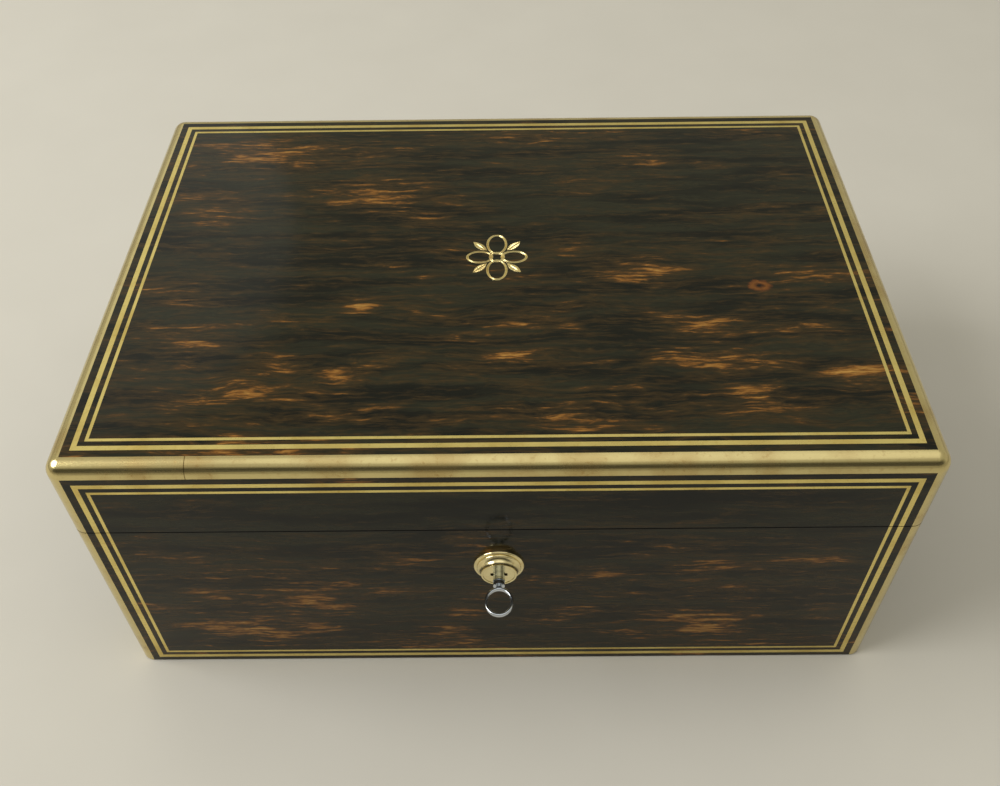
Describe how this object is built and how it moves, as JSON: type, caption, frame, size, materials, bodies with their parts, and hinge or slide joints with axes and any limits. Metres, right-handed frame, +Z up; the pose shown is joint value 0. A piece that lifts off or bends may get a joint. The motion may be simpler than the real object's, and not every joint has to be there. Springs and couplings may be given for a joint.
{
  "type": "jewellery box",
  "caption": "Rectangular veneered jewellery box with brass edges and inlaid strings, hinged lid, front lock with key, and lift-out compartment tray.",
  "frame": {"origin": "middle of the flat underside, on the surface that the box stands on", "axes": "+X to the right along the length, -Y out of the front with the keyhole, +Z up"},
  "size_m": [0.33, 0.2575, 0.14],
  "materials": {
    "coromandel_veneer": "french polished",
    "mahogany": "polished",
    "brass_edge": "polished, worn satin",
    "brass_inlay": "flush polished",
    "hinge_brass": "drawn and filed",
    "lock_brass": "turned and polished",
    "brass_screws": "turned",
    "steel": "tempered",
    "key_steel": "bright polished",
    "velvet": "cut pile",
    "tray_velvet": "cut pile glued on board",
    "baize": "woven and milled wool",
    "leather": "skiver"
  },
  "bodies": {
    "base": {"base_back_board": "mahogany", "base_back_veneer": "coromandel_veneer", "base_bottom_board": "mahogany", "base_corner_brasses": "brass_edge", "base_floor_pad": "velvet", "base_front_board": "mahogany", "base_front_veneer": "coromandel_veneer", "base_left_board": "mahogany", "base_left_veneer": "coromandel_veneer", "base_narrow_stringing": "brass_inlay", "base_right_board": "mahogany", "base_right_veneer": "coromandel_veneer", "base_wide_stringing": "brass_inlay", "hinge_base_screws": "brass_screws", "hinge_left_base_leaf": "hinge_brass", "hinge_pins": "steel", "hinge_right_base_leaf": "hinge_brass", "lock_back_plate": "lock_brass", "lock_case": "lock_brass", "lock_nozzle": "lock_brass", "lock_screws": "brass_screws", "lock_spring": "steel", "tray_ledges": "velvet", "underside_baize": "baize"},
    "lid": {"hinge_left_lid_leaf": "hinge_brass", "hinge_lid_screws": "brass_screws", "hinge_right_lid_leaf": "hinge_brass", "lid_back_board": "mahogany", "lid_back_brass_edge": "brass_edge", "lid_back_veneer": "coromandel_veneer", "lid_corner_brasses": "brass_edge", "lid_front_board": "mahogany", "lid_front_brass_edge": "brass_edge", "lid_front_veneer": "coromandel_veneer", "lid_left_board": "mahogany", "lid_left_brass_edge": "brass_edge", "lid_left_veneer": "coromandel_veneer", "lid_lining_pad": "velvet", "lid_ornament": "brass_inlay", "lid_right_board": "mahogany", "lid_right_brass_edge": "brass_edge", "lid_right_veneer": "coromandel_veneer", "lid_top_board": "mahogany", "lid_top_narrow_stringing": "brass_inlay", "lid_top_veneer": "coromandel_veneer", "lid_top_wide_stringing": "brass_inlay", "lid_wall_narrow_stringing": "brass_inlay", "lid_wall_wide_stringing": "brass_inlay", "link_plate_screws": "brass_screws", "lock_link_plate": "lock_brass"},
    "lock_barrel": {"lock_barrel": "lock_brass"},
    "lock_bolt": {"lock_bolt": "lock_brass"},
    "key": {"key": "key_steel"},
    "tray": {"ring_rolls": "velvet", "tray_bottom": "tray_velvet", "tray_dividers": "tray_velvet", "tray_floor_pads": "velvet", "tray_lift_tabs": "leather", "tray_walls": "tray_velvet"}
  },
  "joints": [
    {"name": "lid_hinge", "type": "hinge", "parent": "base", "child": "lid", "pos_m": [0, 0.115, 0.101], "axis": [-1, 0, 0], "range_deg": [0, 95]},
    {"name": "barrel_turn", "type": "hinge", "parent": "base", "child": "lock_barrel", "pos_m": [0, -0.115, 0.077], "axis": [0, 1, 0], "range_deg": [0, 90]},
    {"name": "bolt_slide", "type": "slide", "parent": "base", "child": "lock_bolt", "axis": [1, 0, 0], "range_m": [0, 0.00495]},
    {"name": "key_slide", "type": "slide", "parent": "lock_barrel", "child": "key", "axis": [0, -1, 0], "range_m": [0, 0.012]},
    {"name": "tray_lift", "type": "slide", "parent": "base", "child": "tray", "axis": [0, 0, 1], "range_m": [0, 0.02]}
  ],
  "couplings": [
    {"joint": "bolt_slide", "follows": "barrel_turn", "m_per_rad": 0.00315}
  ]
}
